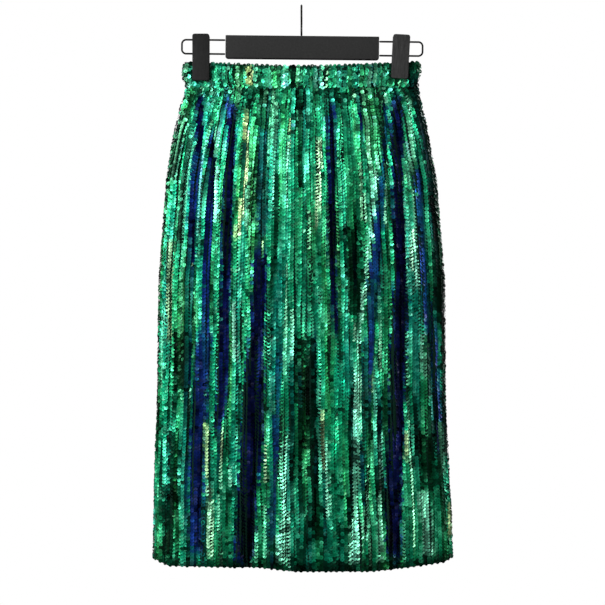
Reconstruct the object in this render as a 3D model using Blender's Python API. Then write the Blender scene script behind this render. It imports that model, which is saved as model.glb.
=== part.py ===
"""A sequin midi skirt with a gathered elastic waist, clipped to a black trouser hanger.

Metres, +Z up, +X across the skirt, and the front faces -Y. The origin is the inner top of the
hanger's hook, where it rests on a rail. The skirt is a flattened tube of two panels under a
gathered waist casing. Its walls follow one middle surface, described below by its width, its
depth and its folds at each level, so the panels and the casing meet along the same gathers.
"""

import math
from collections import namedtuple

import bpy
import numpy as np

# --- fits -------------------------------------------------------------------
GAP = 0.0003  # between pieces that touch

# --- hanger -----------------------------------------------------------------
HOOK_WIRE_R = 0.0013
HOOK_INNER_R = 0.015
HOOK_STARTS, HOOK_ENDS = math.radians(-50), math.radians(195)  # the bend, from +Y over the top
HOOK_STEPS = 22
STEM_STEPS = 6

BAR_CENTRE = (0.001, 0.0, -0.0532)
BAR_WIDTH, BAR_HEIGHT, BAR_DEPTH = 0.198, 0.0302, 0.010
HANGER_TILT = math.radians(0.58)  # the right end hangs lower

WIRE_R = 0.0012
WIRE_REACH = 0.1552  # from the bar's middle to the loop's end
WIRE_RISE = 0.009  # each run of the loop above or below the bar's middle
WIRE_BEND_R = 0.0055
BEND_STEPS = 5

Clip = namedtuple("Clip", "name x top height lean")
CLIPS = (
    Clip("clip_left", -0.1296, -0.0357, 0.0600, math.radians(0.0)),
    Clip("clip_right", 0.1277, -0.0366, 0.0565, math.radians(3.0)),
)
CLIP_WIDTH = 0.022
JAW_THICKNESS = 0.0026
JAW_FLARE = 0.0022  # how far the finger end of a jaw stands off
HOUSING_WIDTH, HOUSING_HEIGHT = 0.018, 0.027  # the block in which both wires run
PIN_R, PIN_LENGTH = 0.0012, 0.0200
RUNNING_GAP = 0.00035  # round the wires and the pin

# --- cloth ------------------------------------------------------------------
WAIST_TOP_Z = -0.0721
BAND_HEIGHT = 0.0310
HEM_DROP = 0.6505  # the hem's mean level below the waist's top
PANEL_WALL = 0.0020
BAND_WALL = 0.0030
GRIP = 0.0025  # half depth of the cloth's middle surface between a clip's jaws
GRIP_HALF_WIDTH = 0.0135
GRIP_EASE_IN, GRIP_EASE_OUT = 0.035, 0.008  # towards the skirt's middle, and towards its side
GRIP_FADES = 0.110  # below the casing the panels forget the clips
TOP_SAG, STITCH_SAG = 0.0060, 0.0040  # of the casing's edges, midway between the clips
CASING_PUFF = 0.0012
SEAM_EASE = 0.035  # the share of a panel over which folds fade into its side seam

# The middle surface at levels below the waist's top. left and right are half widths, depth is
# the bow of each side, and squareness shapes the bow, which is an ellipse at 2.
SECTION_COLUMNS = ("drop", "left", "right", "depth", "squareness", "gather")
SECTIONS = (
    (0.000, 0.1490, 0.1505, 0.0120, 4.0, 0.0013),
    (0.012, 0.1515, 0.1515, 0.0125, 4.0, 0.0012),
    (0.022, 0.1505, 0.1490, 0.0125, 4.0, 0.0012),
    (0.031, 0.1465, 0.1480, 0.0125, 4.0, 0.0014),
    (0.048, 0.1505, 0.1520, 0.0145, 3.6, 0.0020),
    (0.061, 0.1550, 0.1545, 0.0160, 3.4, 0.0021),
    (0.074, 0.1570, 0.1585, 0.0175, 3.2, 0.0020),
    (0.087, 0.1610, 0.1610, 0.0190, 3.0, 0.0018),
    (0.113, 0.1660, 0.1650, 0.0210, 2.8, 0.0014),
    (0.152, 0.1725, 0.1725, 0.0240, 2.6, 0.0010),
    (0.203, 0.1765, 0.1765, 0.0255, 2.5, 0.0007),
    (0.281, 0.1816, 0.1825, 0.0270, 2.4, 0.0005),
    (0.435, 0.1842, 0.1842, 0.0280, 2.4, 0.0005),
    (0.525, 0.1880, 0.1880, 0.0290, 2.4, 0.0005),
    (0.590, 0.1885, 0.1915, 0.0300, 2.4, 0.0005),
    (0.650, 0.1895, 0.1930, 0.0300, 2.4, 0.0005),
)

# The hem's line: how far it hangs below its mean level, across the skirt from -1 to 1.
HEM_COLUMNS = ("across", "hangs")
HEM_LINE = (
    (-1.00, -0.0116),
    (-0.97, -0.0090),
    (-0.90, -0.0032),
    (-0.28, -0.0026),
    (-0.05, 0.0026),
    (0.46, 0.0026),
    (0.68, -0.0013),
    (0.84, -0.0052),
    (0.95, -0.0077),
    (1.00, -0.0130),
)

# Soft folds. Each runs down the cloth through x at three levels, with a ridge on its left and a
# trough on its right. reach is from the ridge to the trough, and depth is between the two.
FOLD_LEVELS = (0.048, 0.306, 0.629)
FOLD_TAPER = 0.060  # the length over which a fold's end runs out
FOLD_SPREAD = 0.45  # half width of a ridge or trough, as a share of the fold's reach
Fold = namedtuple("Fold", "top middle hem reach depth starts ends")
FRONT_FOLDS = (
    (-0.129, -0.144, -0.146, 0.009, 0.0050, 0.035, 0.66),
    (-0.115, -0.122, -0.139, 0.009, 0.0055, 0.040, 0.70),
    (-0.090, -0.097, -0.106, 0.010, 0.0055, 0.040, 0.55),
    (-0.050, -0.054, -0.073, 0.013, 0.0070, 0.040, 0.70),
    (-0.024, -0.026, -0.039, 0.008, 0.0040, 0.330, 0.70),
    (0.014, 0.015, 0.017, 0.010, 0.0050, 0.320, 0.57),
    (0.039, 0.041, 0.050, 0.009, 0.0050, 0.045, 0.38),
    (0.074, 0.077, 0.078, 0.008, 0.0035, 0.030, 0.12),
    (0.067, 0.067, 0.070, 0.008, 0.0040, 0.190, 0.33),
    (0.062, 0.062, 0.063, 0.008, 0.0040, 0.390, 0.63),
    (0.109, 0.091, 0.078, 0.009, 0.0055, 0.040, 0.64),
    (0.098, 0.099, 0.099, 0.008, 0.0035, 0.410, 0.58),
    (0.123, 0.128, 0.119, 0.013, 0.0070, 0.030, 0.70),
    (0.143, 0.160, 0.176, 0.009, 0.0045, 0.100, 0.52),
)
BACK_FOLDS = (
    (-0.126, -0.139, -0.152, 0.010, 0.0055, 0.035, 0.70),
    (-0.104, -0.118, -0.121, 0.009, 0.0050, 0.040, 0.46),
    (-0.082, -0.088, -0.094, 0.012, 0.0065, 0.040, 0.70),
    (-0.047, -0.060, -0.064, 0.009, 0.0045, 0.060, 0.36),
    (-0.020, -0.028, -0.041, 0.011, 0.0055, 0.250, 0.70),
    (0.008, 0.004, -0.006, 0.009, 0.0050, 0.040, 0.44),
    (0.033, 0.038, 0.034, 0.009, 0.0045, 0.330, 0.70),
    (0.055, 0.064, 0.070, 0.012, 0.0065, 0.035, 0.62),
    (0.088, 0.094, 0.104, 0.009, 0.0050, 0.040, 0.40),
    (0.112, 0.121, 0.116, 0.010, 0.0050, 0.220, 0.70),
    (0.131, 0.146, 0.154, 0.012, 0.0065, 0.035, 0.70),
)

GATHERS = 28  # across each side of the casing
STEPS_A_GATHER = 4
PLAN_STEPS = 1200
FRONT_LEVELS, BACK_LEVELS, BAND_LEVELS = 10, 9, 4
LEVELS_CROWD = 1.35  # above 1, more of a panel's levels lie near its top

# --- finish: colour, roughness, metallic ------------------------------------
BLACK_PLASTIC = ("black_plastic", (0.030, 0.030, 0.031), 0.55, 0.0)
BLACK_WIRE = ("black_wire", (0.020, 0.020, 0.020), 0.35, 0.6)
SEQUIN_CLOTH = ("sequin_cloth", (0.010, 0.300, 0.150), 0.30, 0.8)


def smooth(t):
    """From 0 to 1 with soft ends."""
    t = np.clip(t, 0.0, 1.0)
    return t * t * (3.0 - 2.0 * t)


def column(table, columns, name):
    return np.array([row[columns.index(name)] for row in table])


def section(drop, name):
    """A value of the cloth's section at a level below the waist's top."""
    drops = column(SECTIONS, SECTION_COLUMNS, "drop")
    return np.interp(drop, drops, column(SECTIONS, SECTION_COLUMNS, name))


def clear_of_clips(x, drop):
    """0 where a clip presses the cloth flat, 1 where the cloth is free."""
    free = np.ones_like(x)
    for each in CLIPS:
        beyond = (x - each.x) * math.copysign(1.0, each.x)
        ease = np.where(beyond > 0.0, GRIP_EASE_OUT, GRIP_EASE_IN)
        free = free * smooth((np.abs(beyond) - GRIP_HALF_WIDTH) / ease)
    forgets = smooth((drop - BAND_HEIGHT) / GRIP_FADES)
    return free + (1.0 - free) * forgets


def uneven(share):
    """Spaces the gathers unevenly along a side."""
    return share + 0.008 * np.sin(3 * math.tau * share) + 0.004 * np.sin(7 * math.tau * share + 1.3)


def shares(steps):
    """Places across one side, from seam to seam, with STEPS_A_GATHER of them to a gather."""
    share = uneven(np.linspace(0.0, 1.0, steps + 1))
    return (share - share[0]) / (share[-1] - share[0])


def plan_line(drop, share, side):
    """The smooth middle line of one side at a level, and its outward directions.

    side is -1 for the front, which runs to +X, and 1 for the back, which runs to -X."""
    across = -np.cos(np.linspace(0.0, math.pi, PLAN_STEPS)) * -side
    x = np.where(across < 0.0, section(drop, "left"), section(drop, "right")) * across
    bow = section(drop, "depth") * np.sqrt(1.0 - np.abs(across) ** section(drop, "squareness"))
    free = clear_of_clips(x, drop)
    y = side * (free * bow + (1.0 - free) * np.minimum(bow, GRIP))
    along = np.concatenate(([0.0], np.cumsum(np.hypot(np.diff(x), np.diff(y)))))
    at = share * along[-1]
    line = np.stack([np.interp(at, along, x), np.interp(at, along, y)], axis=-1)
    turn = np.gradient(np.stack([x, y], axis=-1), along, axis=0)
    turn = np.stack([np.interp(at, along, turn[:, 0]), np.interp(at, along, turn[:, 1])], axis=-1)
    return line, outward(turn)


def outward(turn):
    """Unit vectors at right angles to a line's direction, on its outer side."""
    turn = turn / np.linalg.norm(turn, axis=-1, keepdims=True)
    return np.stack([turn[..., 1], -turn[..., 0]], axis=-1)


def fold_relief(x, drop, folds):
    """How far the folds push the cloth outward at places x of one level."""
    push = np.zeros_like(x)
    for fold in map(Fold._make, folds):
        centre = np.interp(drop, FOLD_LEVELS, (fold.top, fold.middle, fold.hem))
        strength = smooth((drop - fold.starts) / FOLD_TAPER) * smooth((fold.ends - drop) / FOLD_TAPER)
        spread = fold.reach * FOLD_SPREAD
        ridge = np.exp(-(((x - centre + fold.reach / 2) / spread) ** 2))
        trough = np.exp(-(((x - centre - fold.reach / 2) / spread) ** 2))
        push += 0.5 * fold.depth * strength * (ridge - trough)
    return push


def gather_relief(steps, drop):
    """The gathers, a wave of uneven height with its crests on every STEPS_A_GATHER-th place."""
    place = np.arange(steps + 1)
    height = 1.0 + 0.35 * np.sin(place * 0.37) + 0.20 * np.sin(place * 0.91 + 2.0)
    return section(drop, "gather") * height * np.cos(place * math.tau / STEPS_A_GATHER)


def side_row(drop, side, puff=0.0):
    """The cloth's middle surface along one side at one level, seam to seam, as x, y, z."""
    steps = GATHERS * STEPS_A_GATHER
    share = shares(steps)
    line, out = plan_line(drop, share, side)
    folds = FRONT_FOLDS if side < 0 else BACK_FOLDS
    push = fold_relief(line[:, 0], drop, folds) + gather_relief(steps, drop) + puff
    push *= smooth(np.minimum(share, 1.0 - share) / SEAM_EASE) * clear_of_clips(line[:, 0], drop)
    line = line + out * push[:, None]
    z = WAIST_TOP_Z - drop - sag(line[:, 0], drop)
    return np.column_stack([line, z])


def sag(x, drop):
    """How far a level hangs below its height at the clips."""
    slack = np.maximum(0.0, 1.0 - (x / CLIPS[1].x) ** 2)
    waist = np.interp(drop, (0.0, BAND_HEIGHT, 0.25), (TOP_SAG, STITCH_SAG, 0.0)) * slack
    half = np.where(x < 0.0, section(drop, "left"), section(drop, "right"))
    line = column(HEM_LINE, HEM_COLUMNS, "across"), column(HEM_LINE, HEM_COLUMNS, "hangs")
    return waist + np.interp(x / half, *line) * (drop / HEM_DROP) ** 6


def material(finish):
    name, colour, roughness, metallic = finish
    made = bpy.data.materials.get(name)
    if made is None:
        made = bpy.data.materials.new(name)
        made.use_nodes = True
        shader = made.node_tree.nodes["Principled BSDF"]
        shader.inputs["Base Color"].default_value = (*colour, 1.0)
        shader.inputs["Roughness"].default_value = roughness
        shader.inputs["Metallic"].default_value = metallic
    return made


def add_mesh(name, points, faces, finish):
    mesh = bpy.data.meshes.new(name)
    mesh.from_pydata([tuple(point) for point in points], [], faces)
    mesh.materials.append(material(finish))
    mesh.shade_smooth()
    mesh.set_sharp_from_angle(angle=math.radians(35))
    made = bpy.data.objects.new(name, mesh)
    bpy.context.collection.objects.link(made)
    return made


def cloth_wall(name, rows, wall, closed):
    """A wall of even thickness about rows of middle points. A closed one is a ring."""
    rows = np.array(rows)
    levels, count, _ = rows.shape
    if closed:
        turn = np.roll(rows, -1, axis=1) - np.roll(rows, 1, axis=1)
    else:
        turn = np.gradient(rows, axis=1)
        turn[:, 0, 0] = 0.0  # a seam's edges face each other squarely
        turn[:, -1, 0] = 0.0
    shift = np.zeros_like(rows)
    shift[:, :, :2] = outward(turn[:, :, :2]) * wall / 2
    points = np.concatenate([(rows + shift).reshape(-1, 3), (rows - shift).reshape(-1, 3)])
    inner = levels * count
    faces = []
    for j in range(levels - 1):
        for i in range(count if closed else count - 1):
            a, b = j * count + i, j * count + (i + 1) % count
            faces.append((a, a + count, b + count, b))
            faces.append((inner + a, inner + b, inner + b + count, inner + a + count))
    last = (levels - 1) * count
    for i in range(count if closed else count - 1):
        a, b = i, (i + 1) % count
        faces.append((a, b, inner + b, inner + a))
        faces.append((last + b, last + a, inner + last + a, inner + last + b))
    if not closed:
        for j in range(levels - 1):
            a, b = j * count, (j + 1) * count
            faces.append((b, a, inner + a, inner + b))
            a, b = a + count - 1, b + count - 1
            faces.append((a, b, inner + b, inner + a))
    return add_mesh(name, points, faces, SEQUIN_CLOTH)


def panel(name, side, levels):
    """One side of the skirt, from the casing's stitching to the hem."""
    rows = []
    for step in np.linspace(0.0, 1.0, levels):
        drop = BAND_HEIGHT + (HEM_DROP - BAND_HEIGHT) * step**LEVELS_CROWD
        row = side_row(drop, side)
        row[:, 1] += side * GAP / 2
        rows.append(row)
    rows[0][:, 2] -= GAP
    return cloth_wall(name, rows, PANEL_WALL, closed=False)


def waistband():
    """The casing, a gathered ring that is fullest between its edges."""
    rows = []
    for step in np.linspace(0.0, 1.0, BAND_LEVELS):
        puff = CASING_PUFF * math.sin(math.pi * step)
        front = side_row(BAND_HEIGHT * step, -1, puff)
        back = side_row(BAND_HEIGHT * step, 1, puff)
        rows.append(np.concatenate([front[:-1], back[:-1]]))
    return cloth_wall("waistband", rows, BAND_WALL, closed=True)


def rounded_rectangle(half_width, y_front, y_back, radius, steps=3):
    """Corner points round a rectangle, anticlockwise seen from above."""
    corners = (
        (half_width, y_back, 0.0),
        (-half_width, y_back, 90.0),
        (-half_width, y_front, 180.0),
        (half_width, y_front, 270.0),
    )
    ring = []
    for x, y, start in corners:
        cx = x - math.copysign(radius, x)
        cy = y - radius if y == y_back else y + radius
        for k in range(steps + 1):
            angle = math.radians(start + 90.0 * k / steps)
            ring.append((cx + radius * math.cos(angle), cy + radius * math.sin(angle)))
    return ring


def end_heights(radius, steps=4):
    """Heights above an end, and how far a rounded edge draws in there."""
    angles = [math.pi / 2 * k / steps for k in range(steps + 1)]
    return [(radius * (1 - math.cos(a)), radius * (1 - math.sin(a))) for a in angles]


def slab(name, width, height, y_front, y_back, top_r, bottom_r, finish, edge_r=0.0007, flare=0.0):
    """An upright plate about z = 0 with rounded corners. Its top flares towards y_front's side."""
    levels = [(-height / 2 + up, inset) for up, inset in end_heights(bottom_r)]
    levels += [(height / 2 - up, inset) for up, inset in reversed(end_heights(top_r))]
    bulge = math.copysign(flare, y_front + y_back)
    points = []
    for z, inset in levels:
        face_inset = max(0.0, edge_r - (height / 2 - abs(z)))
        lean = bulge * max(0.0, z / (height / 2)) ** 2
        front, back = y_front + face_inset + lean, y_back - face_inset + lean
        ring = rounded_rectangle(width / 2 - inset, front, back, edge_r - face_inset / 2)
        points += [(x, y, z) for x, y in ring]
    count = len(points) // len(levels)
    faces = [tuple(reversed(range(count))), tuple(range(len(points) - count, len(points)))]
    for j in range(len(levels) - 1):
        for i in range(count):
            a, b = j * count + i, j * count + (i + 1) % count
            faces.append((a, b, b + count, a + count))
    return add_mesh(name, points, faces, finish)


def wire(name, points, radius, finish):
    """A round wire through points, with flat ends."""
    curve = bpy.data.curves.new(name, "CURVE")
    curve.dimensions = "3D"
    curve.bevel_depth = radius
    curve.bevel_resolution = 2
    curve.use_fill_caps = True
    curve.materials.append(material(finish))
    spline = curve.splines.new("POLY")
    spline.points.add(len(points) - 1)
    for point, place in zip(spline.points, points):
        point.co = (*place, 1.0)
    made = bpy.data.objects.new(name, curve)
    bpy.context.collection.objects.link(made)
    return made


def cylinder(name, radius, length, finish, sides=16):
    """A pin along X about its middle."""
    points = []
    for x in (-length / 2, length / 2):
        for k in range(sides):
            angle = math.tau * k / sides
            points.append((x, radius * math.cos(angle), radius * math.sin(angle)))
    faces = [tuple(reversed(range(sides))), tuple(range(sides, 2 * sides))]
    for i in range(sides):
        a, b = i, (i + 1) % sides
        faces.append((a, b, b + sides, a + sides))
    return add_mesh(name, points, faces, finish)


def box(name, low, high, finish):
    corners = [(x, y, z) for z in (low[2], high[2]) for y in (low[1], high[1]) for x in (low[0], high[0])]
    faces = [(0, 2, 3, 1), (4, 5, 7, 6), (0, 1, 5, 4), (2, 6, 7, 3), (0, 4, 6, 2), (1, 3, 7, 5)]
    return add_mesh(name, corners, faces, finish)


def combine(target, other, operation):
    """Joins other to target or cuts it out of target, and keeps other as an unseen guide."""
    modifier = target.modifiers.new(operation.lower(), "BOOLEAN")
    modifier.operation = operation
    modifier.object = other
    other.hide_render = True
    other.display_type = "WIRE"


def hook():
    """A wire hook in the Y-Z plane, so that it shows edge-on from the front."""
    radius = HOOK_INNER_R + HOOK_WIRE_R
    centre_z = -HOOK_INNER_R
    bend = []
    for k in range(HOOK_STEPS + 1):
        angle = HOOK_STARTS + (HOOK_ENDS - HOOK_STARTS) * k / HOOK_STEPS
        bend.append((radius * math.cos(angle), centre_z + radius * math.sin(angle)))
    foot = (0.0, BAR_CENTRE[2] + BAR_HEIGHT / 2 + GAP)
    rising = (0.0, foot[1] + 0.0040)
    lead = 0.0050
    joining = (
        bend[0][0] + lead * math.sin(HOOK_STARTS),
        bend[0][1] - lead * math.cos(HOOK_STARTS),
    )
    stem = []
    for k in range(STEM_STEPS):
        t = k / STEM_STEPS
        weights = ((1 - t) ** 3, 3 * t * (1 - t) ** 2, 3 * t**2 * (1 - t), t**3)
        nodes = (foot, rising, joining, bend[0])
        stem.append(tuple(sum(w * node[i] for w, node in zip(weights, nodes)) for i in (0, 1)))
    return wire("hook", [(0.0, y, z) for y, z in stem + bend], HOOK_WIRE_R, BLACK_WIRE)


def wire_loop(name, side):
    """A long loop that leaves one end of the bar and comes back into it."""
    start = BAR_WIDTH / 2 + GAP
    turn_x = WIRE_REACH - WIRE_BEND_R
    points = [(start, WIRE_RISE)]
    for centre_z, first in ((WIRE_RISE - WIRE_BEND_R, 90.0), (WIRE_BEND_R - WIRE_RISE, 0.0)):
        for k in range(BEND_STEPS + 1):
            angle = math.radians(first - 90.0 * k / BEND_STEPS)
            x = turn_x + WIRE_BEND_R * math.cos(angle)
            points.append((x, centre_z + WIRE_BEND_R * math.sin(angle)))
    points.append((start, -WIRE_RISE))
    return wire(name, [(side * x, 0.0, z) for x, z in points], WIRE_R, BLACK_WIRE)


def clip(name, x, top, height, lean, frame):
    """Two jaws on a pin. The back jaw carries the housing in which the wires run."""
    inner = GRIP + BAND_WALL / 2 + GAP
    outer = inner + JAW_THICKNESS
    place = (x, 0.0, top - height / 2)
    front = slab(f"{name}_front_jaw", CLIP_WIDTH, height, -outer, -inner, 0.003, 0.003,
                 BLACK_PLASTIC, flare=JAW_FLARE)
    back = slab(f"{name}_back_jaw", CLIP_WIDTH, height, inner, outer, 0.003, 0.003,
                BLACK_PLASTIC, flare=JAW_FLARE)
    local_x = x - BAR_CENTRE[0]
    wires_z = BAR_CENTRE[2] - local_x * math.sin(HANGER_TILT)
    middle = wires_z - place[2]
    half = HOUSING_WIDTH / 2
    housing = box(f"{name}_housing", (-half, GAP - inner, middle - HOUSING_HEIGHT / 2),
                  (half, inner + JAW_THICKNESS / 2, middle + HOUSING_HEIGHT / 2), BLACK_PLASTIC)
    combine(back, housing, "UNION")
    for made in (front, back, housing):
        made.location = place
        made.rotation_euler.y = lean
    for run, rise in (("upper", WIRE_RISE), ("lower", -WIRE_RISE)):
        channel = cylinder(f"{name}_{run}_channel", WIRE_R + RUNNING_GAP, 2 * CLIP_WIDTH, BLACK_PLASTIC)
        channel.parent = frame
        channel.location = (local_x, 0.0, rise)
        combine(back, channel, "DIFFERENCE")
    pin = cylinder(f"{name}_pin", PIN_R, PIN_LENGTH, BLACK_WIRE)
    bore = cylinder(f"{name}_pin_bore", PIN_R + RUNNING_GAP, 2 * CLIP_WIDTH, BLACK_PLASTIC)
    for made in (pin, bore):
        made.location = (x + middle * math.sin(lean), 0.0, wires_z)
        made.rotation_euler.y = lean
    combine(back, bore, "DIFFERENCE")


def hanger():
    """The bar, its two wire loops and clips, all a little tilted, and the upright hook."""
    frame = bpy.data.objects.new("hanger_frame", None)
    frame.location = BAR_CENTRE
    frame.rotation_euler.y = HANGER_TILT
    bpy.context.collection.objects.link(frame)
    bar = slab("hanger_bar", BAR_WIDTH, BAR_HEIGHT, -BAR_DEPTH / 2, BAR_DEPTH / 2, 0.0008, 0.0035,
               BLACK_PLASTIC, edge_r=0.0012)
    bar.parent = frame
    for name, side in (("wire_left", -1), ("wire_right", 1)):
        wire_loop(name, side).parent = frame
    for row in CLIPS:
        clip(*row, frame)
    hook()


def main():
    for old in list(bpy.data.objects):
        bpy.data.objects.remove(old, do_unlink=True)
    hanger()
    waistband()
    panel("front_panel", -1, FRONT_LEVELS)
    panel("back_panel", 1, BACK_LEVELS)


main()
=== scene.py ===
"""The looks of a green sequin skirt that hangs by two clips from a black hanger.

The cloth repeats the middle surface of its solids: the same width, depth, gathers and folds at
each level. Sequins lie on it in upright chains. Each one leans with its fold, with a ripple that
its chain shares, and a little by itself. Its colour turns with its fold: from green to blue and
navy where the fold leans to the right, partly the sequins' iridescence and partly painted shade
on flanks turned from the key light, and to mint and gold where it faces the key light, a painted
highlight. Painted light and shade also lighten and darken some levels and streaks.
"""

import math
from collections import namedtuple
from math import pi, radians, tau
from types import SimpleNamespace

import bmesh
import bpy
import numpy as np
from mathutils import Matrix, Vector


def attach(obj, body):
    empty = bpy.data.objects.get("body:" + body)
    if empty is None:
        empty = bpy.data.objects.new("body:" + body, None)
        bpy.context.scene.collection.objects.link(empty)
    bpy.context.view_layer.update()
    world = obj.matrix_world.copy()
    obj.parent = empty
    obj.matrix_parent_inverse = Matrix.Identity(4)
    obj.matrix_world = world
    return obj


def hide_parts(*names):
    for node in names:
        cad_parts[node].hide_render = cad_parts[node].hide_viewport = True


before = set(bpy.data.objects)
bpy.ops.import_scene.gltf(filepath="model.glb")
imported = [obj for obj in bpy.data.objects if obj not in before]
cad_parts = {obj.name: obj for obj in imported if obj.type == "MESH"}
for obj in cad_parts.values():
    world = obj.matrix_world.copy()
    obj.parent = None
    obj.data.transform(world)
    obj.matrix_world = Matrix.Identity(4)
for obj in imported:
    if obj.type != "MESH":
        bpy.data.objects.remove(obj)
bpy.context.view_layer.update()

SEED, SEED_A_SIDE, SEED_A_METRE = 11, 7, 1000  # each side and level has its own random draws
MM = 0.001

# --- camera: the photograph's frame on the plane y = 0
IMAGE_SIDE, METRES_A_PIXEL = 605, 0.00129
CENTRE_PIXEL_X = 301.5  # where x = 0 falls
BAR_PIXEL_Y, BAR_TOP_Z = 36.1, -0.0380
CAMERA_DISTANCE, SENSOR_WIDTH = 3.0, 36.0
FLOOR_Z, FLOOR_R, FLOOR_SIDES, FLOOR_GLOW = -1.3, 4.0, 72, 0.55

# --- hanger, as in the solids
GAP = 0.0003
HOOK_WIRE_R, HOOK_INNER_R = 0.0013, 0.015
HOOK_STARTS, HOOK_ENDS = radians(-50), radians(195)
HOOK_STEM_RISES, HOOK_STEM_LEADS = 0.0040, 0.0050
BAR_CENTRE = (0.001, 0.0, -0.0532)
BAR_WIDTH, BAR_HEIGHT, BAR_DEPTH = 0.198, 0.0302, 0.010
HANGER_TILT = radians(0.58)
WIRE_R, WIRE_REACH, WIRE_RISE, WIRE_BEND_R = 0.0012, 0.1552, 0.009, 0.0055
Clip = namedtuple("Clip", "name x top height lean")
CLIPS = (
    Clip("clip_left", -0.1296, -0.0357, 0.0600, radians(0.0)),
    Clip("clip_right", 0.1277, -0.0366, 0.0565, radians(3.0)),
)
CLIP_WIDTH, JAW_THICKNESS, JAW_FLARE = 0.022, 0.0026, 0.0022
JAW_CORNER_R, JAW_EDGE_R, JAW_CROWN = 0.0030, 0.0007, 0.0004
# The last is how far up from the bar's bottom its painted shade reaches.
BAR_TOP_R, BAR_BOTTOM_R, BAR_EDGE_R, BAR_SHADE_RISE = 0.0008, 0.0035, 0.0012, 0.0013
CORNER_STEPS, FACE_STEPS, LEVEL_STEPS = 7, 8, 24  # of the smooth slabs
QUARTER = np.linspace(0.0, pi / 2, CORNER_STEPS)
EDGE_DRAW, WIRE_TIP = 0.8, 1e-6  # how round a slab's ends are, and how blunt a wire's are
CORNERS = (1, 1), (-1, 1), (-1, -1), (1, -1)  # to the right or left, and to the back or front
BEND_STEPS, STEM_STEPS, WIRE_SIDES = 48, 24, 20

# --- cloth, as in the solids
WAIST_TOP_Z, BAND_HEIGHT, HEM_DROP = -0.0721, 0.0310, 0.6505
PANEL_WALL, BAND_WALL = 0.0020, 0.0030
GRIP, GRIP_HALF_WIDTH = 0.0025, 0.0135
GRIP_EASE_IN, GRIP_EASE_OUT, GRIP_FADES = 0.035, 0.008, 0.110
TOP_SAG, STITCH_SAG, SAG_ENDS = 0.0060, 0.0040, 0.25
CASING_PUFF, SEAM_EASE = 0.0012, 0.035
SECTIONS = (
    ("drop", "left", "right", "depth", "squareness", "gather"),
    (0.000, 0.1490, 0.1505, 0.0120, 4.0, 0.0013),
    (0.012, 0.1515, 0.1515, 0.0125, 4.0, 0.0012),
    (0.022, 0.1505, 0.1490, 0.0125, 4.0, 0.0012),
    (0.031, 0.1465, 0.1480, 0.0125, 4.0, 0.0014),
    (0.048, 0.1505, 0.1520, 0.0145, 3.6, 0.0020),
    (0.061, 0.1550, 0.1545, 0.0160, 3.4, 0.0021),
    (0.074, 0.1570, 0.1585, 0.0175, 3.2, 0.0020),
    (0.087, 0.1610, 0.1610, 0.0190, 3.0, 0.0018),
    (0.113, 0.1660, 0.1650, 0.0210, 2.8, 0.0014),
    (0.152, 0.1725, 0.1725, 0.0240, 2.6, 0.0010),
    (0.203, 0.1765, 0.1765, 0.0255, 2.5, 0.0007),
    (0.281, 0.1816, 0.1825, 0.0270, 2.4, 0.0005),
    (0.435, 0.1842, 0.1842, 0.0280, 2.4, 0.0005),
    (0.525, 0.1880, 0.1880, 0.0290, 2.4, 0.0005),
    (0.590, 0.1885, 0.1915, 0.0300, 2.4, 0.0005),
    (0.650, 0.1895, 0.1930, 0.0300, 2.4, 0.0005),
)
SECTION = {name: values for name, *values in zip(*SECTIONS)}  # its columns, by name
HEM_ACROSS = (-1.00, -0.97, -0.90, -0.28, -0.05, 0.46, 0.68, 0.84, 0.95, 1.00)
HEM_HANGS = (-0.0116, -0.009, -0.0032, -0.0026, 0.0026, 0.0026, -0.0013, -0.0052, -0.0077, -0.013)
HEM_POWER = 6  # the hem's line, so far below its mean, fades upward with this power of the drop
# Each fold runs through x at three levels, with a ridge on its left and a trough on its right.
FOLD_LEVELS, FOLD_TAPER, FOLD_SPREAD = (0.048, 0.306, 0.629), 0.060, 0.45
Fold = namedtuple("Fold", "top middle hem reach depth starts ends")
FRONT_FOLDS = (
    (-0.129, -0.144, -0.146, 0.009, 0.0050, 0.035, 0.66),
    (-0.115, -0.122, -0.139, 0.009, 0.0055, 0.040, 0.70),
    (-0.090, -0.097, -0.106, 0.010, 0.0055, 0.040, 0.55),
    (-0.050, -0.054, -0.073, 0.013, 0.0070, 0.040, 0.70),
    (-0.024, -0.026, -0.039, 0.008, 0.0040, 0.330, 0.70),
    (0.014, 0.015, 0.017, 0.010, 0.0050, 0.320, 0.57),
    (0.039, 0.041, 0.050, 0.009, 0.0050, 0.045, 0.38),
    (0.074, 0.077, 0.078, 0.008, 0.0035, 0.030, 0.12),
    (0.067, 0.067, 0.070, 0.008, 0.0040, 0.190, 0.33),
    (0.062, 0.062, 0.063, 0.008, 0.0040, 0.390, 0.63),
    (0.109, 0.091, 0.078, 0.009, 0.0055, 0.040, 0.64),
    (0.098, 0.099, 0.099, 0.008, 0.0035, 0.410, 0.58),
    (0.123, 0.128, 0.119, 0.013, 0.0070, 0.030, 0.70),
    (0.143, 0.160, 0.176, 0.009, 0.0045, 0.100, 0.52),
)
BACK_FOLDS = (
    (-0.126, -0.139, -0.152, 0.010, 0.0055, 0.035, 0.70),
    (-0.104, -0.118, -0.121, 0.009, 0.0050, 0.040, 0.46),
    (-0.082, -0.088, -0.094, 0.012, 0.0065, 0.040, 0.70),
    (-0.047, -0.060, -0.064, 0.009, 0.0045, 0.060, 0.36),
    (-0.020, -0.028, -0.041, 0.011, 0.0055, 0.250, 0.70),
    (0.008, 0.004, -0.006, 0.009, 0.0050, 0.040, 0.44),
    (0.033, 0.038, 0.034, 0.009, 0.0045, 0.330, 0.70),
    (0.055, 0.064, 0.070, 0.012, 0.0065, 0.035, 0.62),
    (0.088, 0.094, 0.104, 0.009, 0.0050, 0.040, 0.40),
    (0.112, 0.121, 0.116, 0.010, 0.0050, 0.220, 0.70),
    (0.131, 0.146, 0.154, 0.012, 0.0065, 0.035, 0.70),
)
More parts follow.
